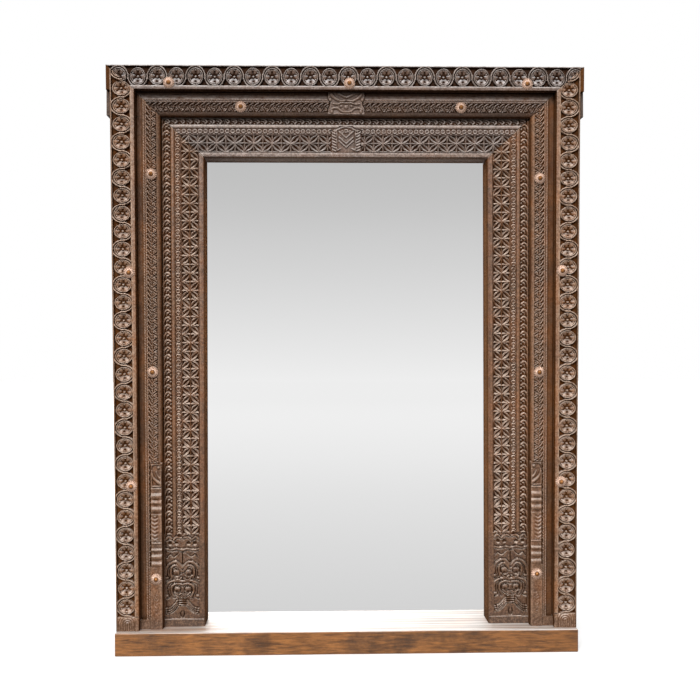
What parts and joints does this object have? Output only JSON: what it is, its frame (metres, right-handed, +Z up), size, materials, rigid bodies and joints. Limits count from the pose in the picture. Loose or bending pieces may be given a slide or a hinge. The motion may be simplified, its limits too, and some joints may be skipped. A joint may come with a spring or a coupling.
{
  "type": "carved wooden floor mirror",
  "caption": "Tall standing mirror in a stepped, carved hardwood door frame on a plain sill, with domed nail bosses and a rear-held glass.",
  "frame": {"origin": "under the middle of the sill, midway between its front and back, on the surface it stands on", "axes": "+Z up; -Y is the front that the glass faces; +X to the right when seen from the front"},
  "size_m": [1.664, 0.175, 2.032],
  "materials": {
    "carved_wood": "hand-carved old hardwood, waxed, worn light on the high edges and dark in the hollows",
    "sill_wood": "plain planed hardwood, warm golden brown with a straight grain and a few stains",
    "old_timber": "rough old hardwood, dry",
    "batten_wood": "planed softwood, unfinished",
    "plywood": "sanded plywood, unfinished",
    "mirror_glass": "silvered float glass",
    "aged_copper": "pressed copper-coloured alloy, dulled in the hollows",
    "zinc_steel": "zinc plated"
  },
  "bodies": {
    "root": {"backing_board": "plywood", "boss_foot_left": "aged_copper", "boss_foot_right": "aged_copper", "boss_middle_head_1": "aged_copper", "boss_middle_head_2": "aged_copper", "boss_middle_left_1": "aged_copper", "boss_middle_left_2": "aged_copper", "boss_middle_right_1": "aged_copper", "boss_middle_right_2": "aged_copper", "boss_outer_head_1": "aged_copper", "boss_outer_head_2": "aged_copper", "boss_outer_head_3": "aged_copper", "boss_outer_left_1": "aged_copper", "boss_outer_left_2": "aged_copper", "boss_outer_right_1": "aged_copper", "boss_outer_right_2": "aged_copper", "bottom_batten_screw_left": "zinc_steel", "bottom_batten_screw_right": "zinc_steel", "bottom_retaining_batten": "batten_wood", "inner_head": "carved_wood", "inner_left_jamb": "carved_wood", "inner_right_jamb": "carved_wood", "left_batten_screw_1": "zinc_steel", "left_batten_screw_2": "zinc_steel", "left_batten_screw_3": "zinc_steel", "left_post": "old_timber", "left_retaining_batten": "batten_wood", "lintel_beam": "old_timber", "lower_brace_screw_left": "zinc_steel", "lower_brace_screw_right": "zinc_steel", "lower_rear_brace": "batten_wood", "middle_head": "carved_wood", "middle_left_jamb": "carved_wood", "middle_right_jamb": "carved_wood", "mirror_glass": "mirror_glass", "outer_head": "carved_wood", "outer_left_jamb": "carved_wood", "outer_right_jamb": "carved_wood", "peg_left_foot": "old_timber", "peg_left_top": "old_timber", "peg_right_foot": "old_timber", "peg_right_top": "old_timber", "right_batten_screw_1": "zinc_steel", "right_batten_screw_2": "zinc_steel", "right_batten_screw_3": "zinc_steel", "right_post": "old_timber", "right_retaining_batten": "batten_wood", "sill": "sill_wood", "top_batten_screw_left": "zinc_steel", "top_batten_screw_right": "zinc_steel", "top_retaining_batten": "batten_wood", "upper_brace_screw_left": "zinc_steel", "upper_brace_screw_right": "zinc_steel", "upper_rear_brace": "batten_wood"}
  },
  "joints": []
}
